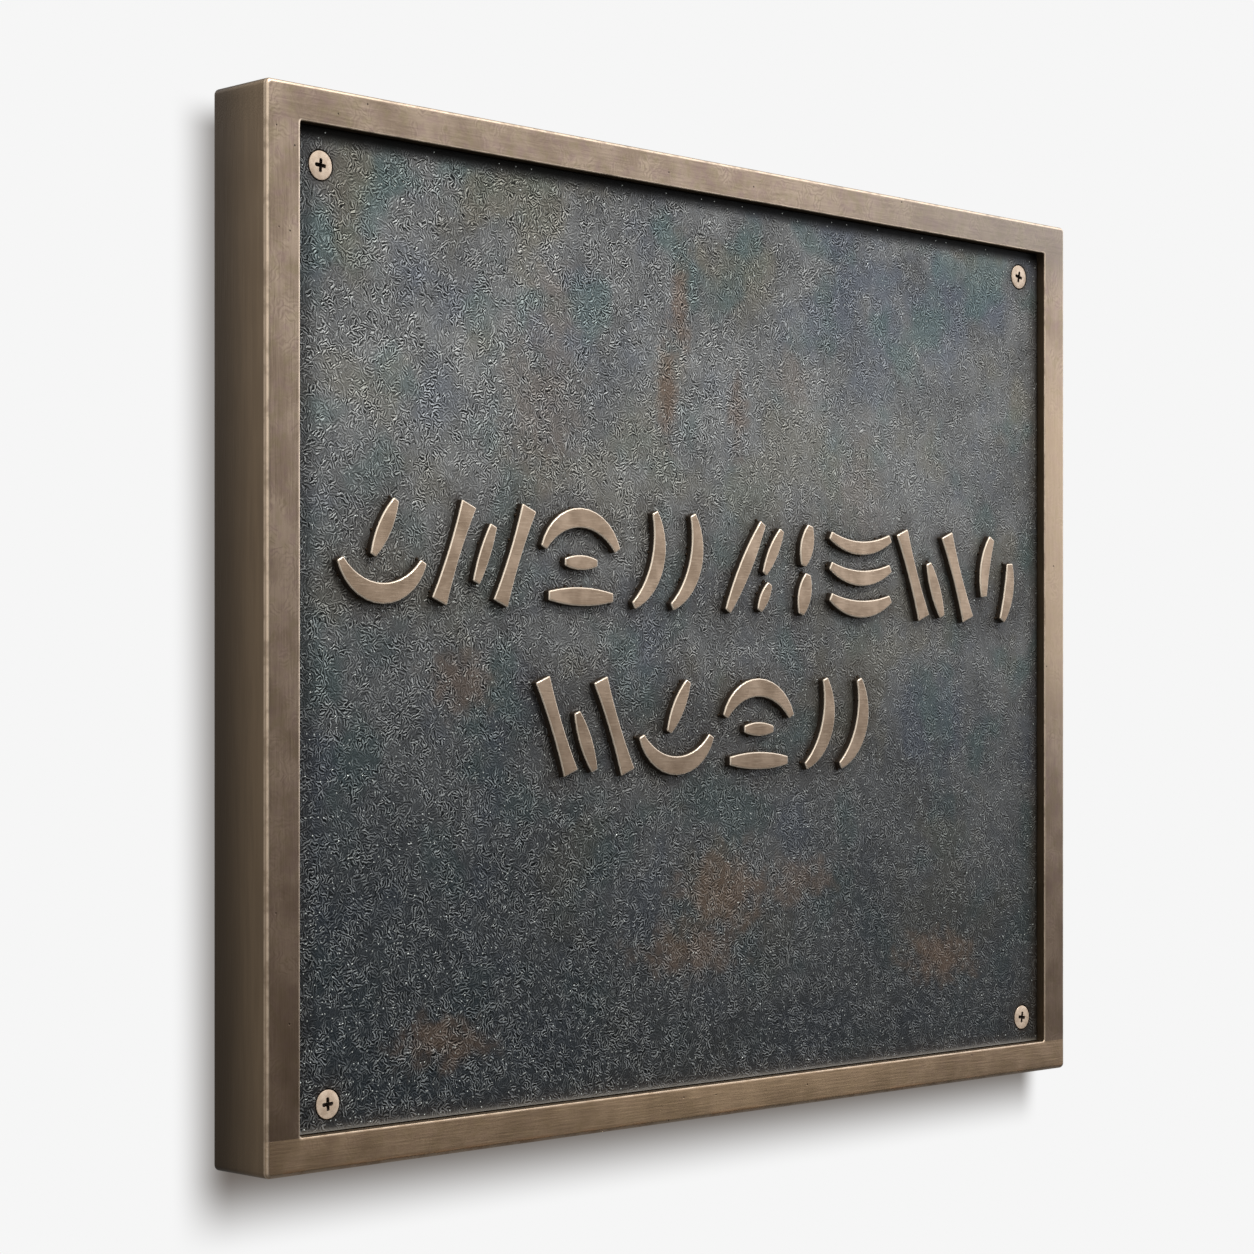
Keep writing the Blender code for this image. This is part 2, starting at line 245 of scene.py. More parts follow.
def tint(tree, base, colour, strength, *masks):
    """Lays a colour over a base, as strongly as the strength and all its masks together say."""
    return mix(tree, product(tree, *masks, strength), base, colour)


def bump(tree, height, distance, strength):
    inputs = {"Height": height, "Distance": distance, "Strength": strength}
    return add_node(tree, "ShaderNodeBump", inputs).outputs[0]


def axes_of(tree, place):
    """A place's own values across, deep and up."""
    return add_node(tree, "ShaderNodeSeparateXYZ", {0: place}).outputs


def bronze_shader(tree, base, metallic, roughness, normal, **others):
    inputs = {"Base Color": base, "Metallic": metallic, "Roughness": roughness, "Normal": normal}
    finish_material(tree, add_node(tree, "ShaderNodeBsdfPrincipled", {**inputs, **others}))


def painted(tree, name):
    """An attribute that a piece's own points carry."""
    return add_node(tree, "ShaderNodeAttribute", attribute_name=name).outputs["Fac"]


def cell_pattern(tree, place, spacing, dimensions):
    """Cells of a size: the distance from each cell's middle, and its own three random values."""
    cells = add_node(
        tree,
        "ShaderNodeTexVoronoi",
        {"Vector": place, "Scale": 1 / spacing},
        voronoi_dimensions=dimensions,
    )
    chances = add_node(tree, "ShaderNodeSeparateColor", {0: cells.outputs["Color"]}).outputs
    return cells.outputs["Distance"], chances


def seen_flat(tree, place):
    """Places on the front, across and up, for patterns that need no depth."""
    x, _, z = axes_of(tree, place)
    return add_node(tree, "ShaderNodeCombineXYZ", {0: x, 1: z}).outputs[0]


def crinkled_skin(tree, flat, ridge_mm, patch_mm, reach_mm):
    """The crinkled skin of sand-cast bronze, from 0 in a groove to 1 on a ridge.

    Small patches each hold a few short ridges that run one way, and soft noise bends them.
    """
    swirl = add_node(
        tree,
        "ShaderNodeTexNoise",
        {"Vector": flat, "Scale": 0.7 / (ridge_mm * MM), "Detail": 0.0},
        noise_dimensions="2D",
    )
    bent = add_node(
        tree,
        "ShaderNodeVectorMath",
        {0: swirl.outputs["Color"], 1: (reach_mm * MM,) * 3, 2: flat},
        operation="MULTIPLY_ADD",
    ).outputs[0]
    across, along, _ = axes_of(tree, bent)
    _, chances = cell_pattern(tree, bent, patch_mm * MM, "2D")
    angle = maths(tree, "MULTIPLY", chances[0], math.tau)
    run = maths(tree, "MULTIPLY", along, maths(tree, "SINE", angle))
    run = maths(tree, "MULTIPLY_ADD", across, maths(tree, "COSINE", angle), run)
    phase = maths(tree, "MULTIPLY", chances[1], math.tau)
    wave = maths(tree, "COSINE", maths(tree, "MULTIPLY_ADD", run, math.tau / (ridge_mm * MM), phase))
    height = maths(tree, "MULTIPLY_ADD", chances[2], 0.42, 0.12)
    return maths(tree, "MULTIPLY_ADD", wave, height, 0.5)


def share_up(tree, z):
    """How high a point is on the plaque, from -1 at its foot to 1 at its top."""
    return maths(tree, "MULTIPLY_ADD", z, 2 / PLAQUE_HEIGHT, -2 * MIDDLE_Z / PLAQUE_HEIGHT)


def make_frame_bronze():
    """Statuary bronze, browned and then rubbed to a satin by hand.

    The rubbing takes the brown off the edges and leaves faint brush marks along each rail, soft
    olive and mauve mottling and small dark casting pits. The edges are also painted brighter as a
    highlight, more so higher up. The outer sides are painted darker towards the wall, as shade.
    """
    material, tree, place = new_material("rubbed_brown_bronze")
    x, y, z = axes_of(tree, place)
    up = share_up(tree, z)
    rail_start = 1 - 2 * CROSS_RAIL_WIDTH / PLAQUE_HEIGHT
    on_cross_rail = maths(tree, "GREATER_THAN", maths(tree, "ABSOLUTE", up), rail_start)
    on_side_rail = maths(tree, "SUBTRACT", 1.0, on_cross_rail)

    # Blotches, with olive and mauve mottling
    blotches = pattern(tree, place, 11, detail=4.0)
    base = mix(tree, between(tree, blotches, 0.32, 0.68), "#917e6c", "#ae9a86")
    mottles = pattern(tree, place, 3.4, detail=2.0, shift=(3, 1, 7))
    base = tint(tree, base, "#8f8460", 0.28, between(tree, mottles, 0.52, 0.66))
    base = tint(tree, base, "#957b79", 0.30, between(tree, mottles, 0.48, 0.34))

    # Brush marks along each rail, and the casting's swirls where they weren't rubbed off
    brush_scale = add_node(
        tree, "ShaderNodeMix", {0: on_cross_rail, 4: BRUSH_UP, 5: BRUSH_ACROSS}, data_type="VECTOR"
    ).outputs[1]
    brush_place = add_node(
        tree, "ShaderNodeVectorMath", {0: place, 1: brush_scale}, operation="MULTIPLY"
    ).outputs[0]
    brushed = add_node(
        tree, "ShaderNodeTexNoise", {"Vector": brush_place, "Scale": 1.0, "Detail": 2.0}
    ).outputs["Fac"]
    base = tint(tree, base, "#c9b49b", 0.12, between(tree, brushed, 0.52, 0.72))
    base = tint(tree, base, "#5f5043", 0.14, between(tree, brushed, 0.48, 0.30))
    swirls = crinkled_skin(tree, seen_flat(tree, place), 1.2, 3.2, 1.6)
    swirled = between(tree, blotches, 0.40, 0.62, 0.25, 1.0)
    base = tint(tree, base, "#5b4a3d", 0.26, between(tree, swirls, 0.40, 0.05), swirled)
    base = tint(tree, base, "#dcc5ab", 0.16, between(tree, swirls, 0.70, 1.0), swirled)

    # Tone by place: the side rails darker towards the foot and at the left below the head, the right
    # greyer at the head and paler above the middle, the foot rail paler and warmer, most in its middle,
    # and orange at its lower edge
    low_down = between(tree, up, 0.3, -1.0)
    on_left = between(tree, x, 10 * MM, -10 * MM)
    to_right = between(tree, x, 10 * MM, 130 * MM)
    below_head = between(tree, up, 0.85, -0.05)
    at_head = between(tree, up, 0.80, 0.95)
    above_middle = product(tree, between(tree, up, -0.30, 0.05), between(tree, up, 0.80, 0.50))
    in_middle = product(tree, between(tree, x, -80 * MM, -10 * MM), between(tree, x, 100 * MM, 50 * MM))
    foot_edge = between(tree, up, -0.984, -0.996)
    base = tint(tree, base, "#735c47", 0.60, low_down, on_side_rail)
    base = tint(tree, base, "#6b5747", 0.32, on_side_rail, on_left, below_head)
    base = tint(tree, base, "#7b766f", 0.42, to_right, at_head)
    base = tint(tree, base, "#cfb494", 0.45, to_right, above_middle)
    base = tint(tree, base, "#bb9a75", 0.56, low_down, on_cross_rail)
    base = tint(tree, base, "#dcba90", 0.30, low_down, on_cross_rail, in_middle)
    base = tint(tree, base, "#a06c41", 0.60, foot_edge, between(tree, blotches, 0.40, 0.60))

    # The outer sides, with painted shade darker towards the wall, and streaked
    streaks = pattern(tree, place, 1.8, detail=3.0, stretch=(1, 1, 16))
    near_front = between(tree, y, BACK_Y - 2 * MM, FRONT_Y + 1 * MM)
    side = painted(tree, "side")
    shaded_side_colour = mix(tree, near_front, "#463b2f", "#7b6954")
    shaded_side_colour = tint(tree, shaded_side_colour, "#3d332a", 0.16, between(tree, streaks, 0.35, 0.65))
    base = mix(tree, side, base, shaded_side_colour)

    # Edges rubbed bright and painted brighter still as a highlight, more so higher up where the light
    # falls
    wear_noise = pattern(tree, place, 3.5, detail=4.0, shift=(9, 4, 2))
    worn = between(tree, wear_noise, 0.32, 0.56, 0.45, 1.0)
    less_lit_below = maths(tree, "MULTIPLY_ADD", low_down, -0.35, 1.0)
    wear_and_highlight = between(tree, painted(tree, "wear_and_highlight"), 0.2, 0.8)
    base = tint(tree, base, "#e6d0b7", 0.95, wear_and_highlight, worn, less_lit_below)

    # Casting pits
    distance, chances = cell_pattern(tree, place, FRAME_PIT_SPACING, "3D")
    pit_shape = between(tree, distance, 0.035, 0.075, 1.0, 0.0)
    pits = product(tree, pit_shape, between(tree, chances[0], 0.60, 0.65))
    base = tint(tree, base, "#2b211a", 0.80, pits)

    gloss = between(tree, blotches, 0.2, 0.8, 0.30, 0.40)
    gloss = maths(tree, "MULTIPLY_ADD", side, 0.12, gloss)
    relief = maths(tree, "MULTIPLY_ADD", pits, -1.5, brushed)
    bronze_shader(tree, base, 1.0, gloss, bump(tree, relief, BRUSH_DEPTH, 0.6))
    return material


# Rust-brown streaks and stains on the plate: across and up from its middle, half width, half
# height (mm) and strength
STAINS = (
    (-12, 88, 4.2, 19, 0.75),
    (-17, 66, 4.5, 19, 0.80),
    (10, 62, 4.5, 14, 0.65),
    (32, 73, 9, 9, 0.35),
    (-62, 60, 16, 22, 0.35),
    (-58, 84, 10, 12, 0.35),
    (5, -67, 20, 13, 0.6),
    (35, -66, 15, 8, 0.45),
    (-8, -82, 22, 9, 0.5),
    (96, -90, 18, 9, 0.6),
    (-90, -12, 13, 9, 0.45),
    (-96, -100, 18, 8, 0.5),
    (60, 40, 12, 22, 0.25),
)


def stain_mask(tree, ragged, x, z):
    """All the stains together, broken up by a ragged pattern at their borders."""
    offset = maths(tree, "MULTIPLY_ADD", ragged, 2.2, -1.1)
    total = None
    for across, up, half_width, half_height, strength in STAINS:
        z_shift = -(up + MIDDLE_Z / MM) / half_height
        side_reach = maths(tree, "MULTIPLY_ADD", x, 1 / (half_width * MM), -across / half_width)
        up_reach = maths(tree, "MULTIPLY_ADD", z, 1 / (half_height * MM), z_shift)
        squared = product(tree, side_reach, side_reach)
        squared = maths(tree, "MULTIPLY_ADD", up_reach, up_reach, squared)
        reach = maths(tree, "ADD", maths(tree, "SQRT", squared), offset)
        one = between(tree, reach, 0.1, 1.2, strength, 0.0)
        total = one if total is None else maths(tree, "MAXIMUM", total, one)
    return total


def make_plate_patina():
    """Sand-cast bronze under a dark blue-grey chemical patina.

    The patina is a dull skin of oxide, so it is mostly matt. It lies in cloudy patches of blue,
    green and olive, with rusty runs. The casting's crinkle is pale on its ridges and dark in its
    grooves, partly the patina's own tone and partly painted light and shade of the relief, and pale
    specks are painted in as glints. The crinkle is drawn at its real width, with ridges about
    0.7 mm apart.
    """
    material, tree, place = new_material("blue_grey_cast_patina")
    face = seen_flat(tree, place)
    x, _, z = axes_of(tree, place)
    up = share_up(tree, z)
    across = maths(tree, "MULTIPLY", x, 2 / PLAQUE_WIDTH)

    # Clouds of grey, blue, green and olive
    clouds = pattern(tree, place, 30, detail=3.0, roughness=0.6)
    tones = pattern(tree, place, 30, detail=3.0, shift=(7, 2, 1))
    greens = pattern(tree, place, 22, detail=2.0, shift=(2, 9, 6))
    ragged = pattern(tree, place, 6, detail=4.0, shift=(1, 8, 3))
    base = mix(tree, between(tree, clouds, 0.32, 0.68), "#4f4f4e", "#747472")
    base = tint(tree, base, "#465060", 0.55, between(tree, tones, 0.50, 0.66))
    base = tint(tree, base, "#415b58", 0.60, between(tree, greens, 0.50, 0.66))
    base = tint(tree, base, "#6a634e", 0.50, between(tree, tones, 0.46, 0.32))

    # A painted soft highlight above the middle; darker towards the foot, partly the patina's tone and
    # partly painted shade; and darkest at its left
    painted_highlight_middle = product(tree, between(tree, up, -0.25, 0.25), between(tree, up, 0.85, 0.45))
    base = tint(tree, base, "#8c8d8a", 0.25, painted_highlight_middle, between(tree, across, 1.0, 0.4, 0.15, 1.0))
    low_down = between(tree, up, 0.62, -1.05)
    left_foot = product(tree, low_down, between(tree, across, 0.1, -0.9))
    base = tint(tree, base, "#15191b", 0.94, low_down)
    base = tint(tree, base, "#0a1820", 0.66, left_foot)

    # Rust, brown dirt with painted shade round what stands on the plate and along the rails, and painted
    # shadow under the top rail and beside the left rail
    base = tint(tree, base, "#644c36", 0.90, stain_mask(tree, ragged, x, z))
    grime_and_shade_share = painted(tree, "grime_and_shade")
    base = tint(tree, base, "#30271f", 0.85, grime_and_shade_share, between(tree, ragged, 0.30, 0.60, 0.60, 1.0))
    under_rail_shadow = between(tree, z, PLATE_HIGH.z - 4.4 * MM, PLATE_HIGH.z - 1.0 * MM)
    beside_rail_shade = between(tree, x, PLATE_LOW.x + 8.5 * MM, PLATE_LOW.x + 3.4 * MM)
    base = tint(tree, base, "#0c0b0a", 0.93, under_rail_shadow)
    base = tint(tree, base, "#0c0b0a", 0.62, beside_rail_shade)

    # The crinkle, pale on its ridges and dark in its grooves: partly the patina's tone in its hollows
    # and partly painted light and shade of the relief
    skin = crinkled_skin(tree, face, 0.74, 1.35, 0.75)
    highlit_lip = painted(tree, "highlit_lip")
    patches = between(tree, ragged, 0.38, 0.56, 0.42, 1.0)
    patches = product(tree, patches, between(tree, across, -0.4, 0.9, 1.0, 0.68))
    calm = maths(tree, "MAXIMUM", maths(tree, "MULTIPLY", grime_and_shade_share, 0.40), highlit_lip)
    calm = maths(tree, "MAXIMUM", calm, under_rail_shadow)
    crinkle = product(tree, patches, maths(tree, "SUBTRACT", 1.0, calm))
    grooves = product(tree, between(tree, skin, 0.54, 0.12), crinkle)
    ridges = product(tree, between(tree, skin, 0.64, 0.92), crinkle)
    pale_ridge_colour = add_node(
        tree,
        "ShaderNodeVectorMath",
        {0: base, 1: (2.4, 2.4, 2.4), 2: (0.19, 0.195, 0.185)},
        operation="MULTIPLY_ADD",
    ).outputs[0]
    base = tint(tree, base, pale_ridge_colour, 0.90, ridges)
    base = tint(tree, base, "#090b0c", 0.93, grooves)
    # The lip at the foot, painted pale as a highlight
    base = tint(tree, base, "#8a857c", 0.60, highlit_lip)

    # Painted glints: pale specks in the colour, fewer in the dark corner
    distance, chances = cell_pattern(tree, face, SPECK_SPACING, "2D")
    rarity = maths(tree, "MULTIPLY_ADD", left_foot, -0.14, 0.92)
    chosen = maths(tree, "GREATER_THAN", chances[1], rarity)
    base = tint(tree, base, "#d3d7d0", 0.90, between(tree, distance, 0.06, 0.15, 1.0, 0.0), chosen)

    gloss = maths(tree, "MULTIPLY_ADD", grooves, 0.2, 0.42)
    sheen = maths(tree, "MULTIPLY_ADD", maths(tree, "MAXIMUM", grooves, under_rail_shadow), -0.46, 0.5)
    normal = bump(tree, skin, RIDGE_DEPTH, crinkle)
    bronze_shader(tree, base, 0.35, gloss, normal, **{"Specular IOR Level": sheen})
    return material


def make_stroke_bronze():
    """Cast bronze strokes: tops sanded bright after the patina, sides left dark brown.

    Sanding runs across, and every rim is painted pale as a highlight.
    """
    material, tree, place = new_material("sanded_stroke_bronze")
    _, y, z = axes_of(tree, place)
    top_y = PLATE_FACE_Y - RELIEF
    ragged = pattern(tree, place, 1.2, detail=3.0)
    level = maths(tree, "MULTIPLY_ADD", ragged, 0.25 * MM, y)
    sanded = between(tree, level, top_y + 0.40 * MM, top_y + 0.56 * MM, 1.0, 0.0)
    blotches = pattern(tree, place, 7, detail=4.0, shift=(1, 2, 3))
    sanding = pattern(tree, place, 0.5, detail=2.0, stretch=(9, 1, 1), shift=(4, 4, 4))
    # The rim of each top is painted pale as a highlight
    rim_highlight = between(tree, painted(tree, "rim_highlight"), 0.1, 0.7)
    top = mix(tree, between(tree, blotches, 0.3, 0.7), "#9a846e", "#bda58d")
    top = tint(tree, top, "#d2bda4", 0.35, between(tree, sanding, 0.5, 0.75))
    top = tint(tree, top, "#6f5c4b", 0.35, between(tree, sanding, 0.45, 0.25))
    top = mix(tree, rim_highlight, top, "#f7e6d0")
    top = tint(tree, top, "#6c5a49", 0.25, between(tree, share_up(tree, z), 0.3, -0.4))
    base = mix(tree, sanded, "#33291f", top)
    gloss = between(tree, sanded, 0.0, 1.0, 0.6, 0.36)
    metal = between(tree, rim_highlight, 0.0, 1.0, 0.95, 0.5)
    bronze_shader(tree, base, metal, gloss, bump(tree, sanding, SANDING_DEPTH, 0.5))
    return material


def make_screw_bronze():
    """Turned silicon bronze, pale, with painted shade in the cross and on the lower rounding of the
    head.
    """
    material, tree, place = new_material("pale_screw_bronze")
    _, y, _ = axes_of(tree, place)
    # Painted shade wherever the head sinks below the face: the cross and the lower rounding of the rim
    sunk_shade = between(tree, y, PLATE_FACE_Y + 0.03 * MM, PLATE_FACE_Y + 0.16 * MM)
    blotches = pattern(tree, place, 1.8, detail=3.0)
    base = mix(tree, between(tree, blotches, 0.3, 0.7), "#c2ab94", "#dcc6af")
    base = mix(tree, sunk_shade, base, "#2b1e15")
    gloss = between(tree, sunk_shade, 0.0, 1.0, 0.36, 0.7)
    bronze_shader(tree, base, 0.4, gloss, bump(tree, blotches, 0.04 * MM, 0.3))
    return material


def link_mesh(name, mesh, material=None):
    if material:
        mesh.materials.clear()
        mesh.materials.append(material)
    item = bpy.data.objects.new(name, mesh)
    bpy.context.scene.collection.objects.link(item)
    return item


def smooth(item, degrees):
    item.data.shade_smooth()
    item.data.set_sharp_from_angle(angle=math.radians(degrees))


def declare(piece, slot, *nodes):
    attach(piece, "root")
    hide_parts(*nodes)


def rail_points(width, height, radius, steps_x, steps_z):
    """Points round a rectangle with round corners and many points along each rail."""
    sides = (
        (1, -1, -90, (0, 1), height, steps_z),
        (1, 1, 0, (-1, 0), width, steps_x),
        (-1, 1, 90, (0, -1), height, steps_z),
        (-1, -1, 180, (1, 0), width, steps_x),
    )
    points = []
    for side_x, side_z, start, heading, length, steps in sides:
        corner_x = side_x * (width / 2 - radius)
        corner_z = side_z * (height / 2 - radius)
        for step in range(CORNER_STEPS + 1):
            angle = math.radians(start + 90 * step / CORNER_STEPS)
            points.append((corner_x + radius * math.cos(angle), corner_z + radius * math.sin(angle)))
        last_x, last_z = points[-1]
        straight = length - 2 * radius
        for step in range(1, steps):
            along = straight * step / steps
            points.append((last_x + heading[0] * along, last_z + heading[1] * along))
    return points


def quarter(radius, start_degrees):
    angles = [math.radians(start_degrees + 90 * step / EDGE_STEPS) for step in range(EDGE_STEPS + 1)]
    return [(radius * math.cos(angle), radius * math.sin(angle)) for angle in angles]


def frame_section():
    """The rail's section from back to front to inside.

    Each row holds the distance in from the outer side, across and up, then y, the corner
    radius, and how much the metal there is outer side and how much it is rubbed bright and
    painted with a highlight.
    """
    rows = []

    def outer(inset, y, radius, side, wear_and_highlight):
        rows.append((inset, inset, y, radius, side, wear_and_highlight))

    def inner(step_in, y, side, wear_and_highlight):
        radius = INNER_CORNER_RADIUS
        rows.append((SIDE_RAIL_WIDTH + step_in, CROSS_RAIL_WIDTH + step_in, y, radius, side, wear_and_highlight))

    for across, along in quarter(BACK_EDGE_RADIUS, 90):
        inset = BACK_EDGE_RADIUS + across
        outer(inset, BACK_Y - BACK_EDGE_RADIUS + along, CORNER_RADIUS - inset, 1.0, 0.2)
    side_end = FRONT_Y + FRONT_EDGE_RADIUS
    outer(0.0, BACK_Y - BACK_EDGE_RADIUS - RUBBED_MARGIN, CORNER_RADIUS, 1.0, 0.0)
    outer(0.0, side_end + RUBBED_MARGIN, CORNER_RADIUS, 1.0, 0.0)
    for index, (across, along) in enumerate(quarter(FRONT_EDGE_RADIUS, 180)):
        inset = FRONT_EDGE_RADIUS + across
        share = index / EDGE_STEPS
        outer(inset, side_end + along, CORNER_RADIUS - inset, 1.0 - share, EDGE_WEAR_AND_HIGHLIGHT[index])
    outer(FRONT_EDGE_RADIUS + RUBBED_MARGIN, FRONT_Y, FACE_CORNER_RADIUS, 0.0, 0.0)
    inner(-INNER_EDGE_RADIUS - INNER_RUBBED_MARGIN, FRONT_Y, 0.0, 0.0)
    for step in range(INNER_EDGE_STEPS + 1):
        share = step / INNER_EDGE_STEPS
        angle = math.radians(90 * share)
        step_in = INNER_EDGE_RADIUS * (math.sin(angle) - 1)
        inner(step_in, FRONT_Y + INNER_EDGE_RADIUS * (1 - math.cos(angle)), share, 1.0)
    ledge_back = SEAT_Y + LEDGE_THICKNESS
    inner(0.0, FRONT_Y + INNER_EDGE_RADIUS + RUBBED_MARGIN, 1.0, 0.0)
    inner(0.0, SEAT_Y, 1.0, 0.0)
    inner(LEDGE_WIDTH, SEAT_Y, 1.0, 0.0)
    inner(LEDGE_WIDTH, ledge_back, 1.0, 0.0)
    inner(0.0, ledge_back, 1.0, 0.0)
    inner(0.0, BACK_Y, 1.0, 0.0)
    return rows


def mesh_from(mesh_data, name):
    """Turns a bmesh into a mesh and lets the bmesh go."""
    mesh = bpy.data.meshes.new(name)
    mesh_data.to_mesh(mesh)
    mesh_data.free()
    return mesh


def boss_prisms():
    """The four corner blocks behind the plate, as one mesh to be joined to the frame."""
    mesh_data = bmesh.new()
    width = BOSS_SIZE + SIDE_RAIL_WIDTH / 2
    height = BOSS_SIZE + CROSS_RAIL_WIDTH / 2
    for side_x in (-1, 1):
        for side_z in (-1, 1):
            x = side_x * (PLAQUE_WIDTH / 2 - SIDE_RAIL_WIDTH - BOSS_SIZE + width / 2)
            z = MIDDLE_Z + side_z * (PLAQUE_HEIGHT / 2 - CROSS_RAIL_WIDTH - BOSS_SIZE + height / 2)
            outline = rail_points(width, height, BOSS_CORNER_RADIUS, 1, 1)
            front = [mesh_data.verts.new((x + px, SEAT_Y + CLEARANCE, z + pz)) for px, pz in outline]
            back = [mesh_data.verts.new((x + px, BACK_Y - BOSS_SETBACK, z + pz)) for px, pz in outline]
            bridge_loops(mesh_data, front, back)
            mesh_data.faces.new(front)
            mesh_data.faces.new(back)
    bmesh.ops.recalc_face_normals(mesh_data, faces=mesh_data.faces)
    return link_mesh("boss_prisms", mesh_from(mesh_data, "boss_prisms"))


def bridge_loops(mesh_data, first, second):
    count = len(first)
    for index in range(count):
        following = (index + 1) % count
        mesh_data.faces.new((first[index], first[following], second[following], second[index]))


def apply_modifiers(item):
    """Replaces an object's mesh by its evaluated one and drops its modifiers."""
    depsgraph = bpy.context.evaluated_depsgraph_get()
    mesh = bpy.data.meshes.new_from_object(
        item.evaluated_get(depsgraph), preserve_all_data_layers=True, depsgraph=depsgraph
    )
    item.modifiers.clear()
    item.data = mesh


def boolean(item, other, operation):
    modifier = item.modifiers.new(other.name, "BOOLEAN")
    modifier.operation = operation
    modifier.solver = "EXACT"
    modifier.object = other
    apply_modifiers(item)
    bpy.data.objects.remove(other, do_unlink=True)


def merge_points(mesh):
    """Joins the points that a boolean left at the same place."""
    mesh_data = bmesh.new()
    mesh_data.from_mesh(mesh)
    bmesh.ops.remove_doubles(mesh_data, verts=mesh_data.verts, dist=MERGE_DISTANCE)
    mesh_data.to_mesh(mesh)
    mesh_data.free()


def make_frame(material):
    mesh_data = bmesh.new()
    side_layer = mesh_data.verts.layers.float.new("side")
    wear_and_highlight_layer = mesh_data.verts.layers.float.new("wear_and_highlight")
    steps_x = round(PLAQUE_WIDTH / RAIL_STEP)
    steps_z = round(PLAQUE_HEIGHT / RAIL_STEP)
    loops = []
    for inset_x, inset_z, y, radius, side, wear_and_highlight in frame_section():
        loop = []
        width = PLAQUE_WIDTH - 2 * inset_x
        height = PLAQUE_HEIGHT - 2 * inset_z
        for x, z in rail_points(width, height, radius, steps_x, steps_z):
            ripple = noise.noise(Vector((x, y, z)) / HAND_FINISH_LENGTH)
            ripple += 0.5 * noise.noise(Vector((z, y, x)) / HAND_FINISH_RIPPLE)
            dent = HAND_FINISH * (0.5 + 0.33 * ripple) * min(1.0, wear_and_highlight + 0.25)
            pull = 1 - dent / (PLAQUE_WIDTH / 2)
            moved_y = y + dent if y < FRONT_Y + FRONT_EDGE_RADIUS else y
            vert = mesh_data.verts.new((x * pull, moved_y, MIDDLE_Z + z * pull))
            vert[side_layer] = side
            vert[wear_and_highlight_layer] = wear_and_highlight
            loop.append(vert)
        loops.append(loop)
    for first, second in zip(loops, loops[1:] + loops[:1]):
        bridge_loops(mesh_data, first, second)
    bmesh.ops.recalc_face_normals(mesh_data, faces=mesh_data.faces)
    piece = link_mesh("bronze_frame", mesh_from(mesh_data, "bronze_frame"), material)
    boolean(piece, boss_prisms(), "UNION")
    # The boolean leaves the new points of the corner blocks without their share of outer side
    for vert, side in zip(piece.data.vertices, piece.data.attributes["side"].data):
        if vert.co.y > SEAT_Y:
            side.value = 1.0
    smooth(piece, 35)
    return piece


def merged_copy(node):
    """A copy of a CAD node's mesh with its loose triangles joined."""
    mesh_data = bmesh.new()
    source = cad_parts[node]
    mesh_data.from_mesh(source.data)
    mesh_data.transform(source.matrix_world)
    bmesh.ops.remove_doubles(mesh_data, verts=mesh_data.verts, dist=CAD_MERGE_DISTANCE)
    return mesh_data


def make_strokes(material):
    """The raised strokes, taken from the CAD plate and given rounded rims and closed roots."""
    mesh_data = merged_copy("face_plate")
    limit = PLATE_FACE_Y - 0.01 * MM
    drop = [face for face in mesh_data.faces if min(v.co.y for v in face.verts) >= limit]
    bmesh.ops.delete(mesh_data, geom=drop, context="FACES")
    bmesh.ops.dissolve_limit(
        mesh_data, angle_limit=math.radians(0.5), verts=mesh_data.verts, edges=mesh_data.edges
    )
    # Marks the outer ring of each top, which the material paints pale as a highlight
    rim_layer = mesh_data.verts.layers.float.new("rim_highlight")
    for vert in mesh_data.verts:
        vert[rim_layer] = 1.0
    tops = [face for face in mesh_data.faces if face.normal.y < -0.9]
    bmesh.ops.inset_region(mesh_data, faces=tops, thickness=STROKE_RIM, use_even_offset=True)
    for vert in {vert for face in tops for vert in face.verts}:
        vert[rim_layer] = 0.0
    rims = [edge for edge in mesh_data.edges if edge.is_boundary]
    foot_points = [edge.verts[0].co.copy() for edge in rims]
    foot_points += [(edge.verts[0].co + edge.verts[1].co) / 2 for edge in rims]
    grown = bmesh.ops.extrude_edge_only(mesh_data, edges=rims)["geom"]
    for vert in (item for item in grown if isinstance(item, bmesh.types.BMVert)):
        vert.co.y = PLATE_FACE_Y + STROKE_ROOT
    bmesh.ops.holes_fill(mesh_data, edges=[edge for edge in mesh_data.edges if edge.is_boundary])
    bmesh.ops.recalc_face_normals(mesh_data, faces=mesh_data.faces)
    piece = link_mesh("raised_strokes", mesh_from(mesh_data, "raised_strokes"), material)
    rounding = piece.modifiers.new("rounded rims", "BEVEL")
    rounding.width = STROKE_ROUNDING
    rounding.segments = 4
    rounding.limit_method = "ANGLE"
    rounding.angle_limit = math.radians(40)
    rounding.use_clamp_overlap = False
    apply_modifiers(piece)
    smooth(piece, 40)
    return piece, foot_points


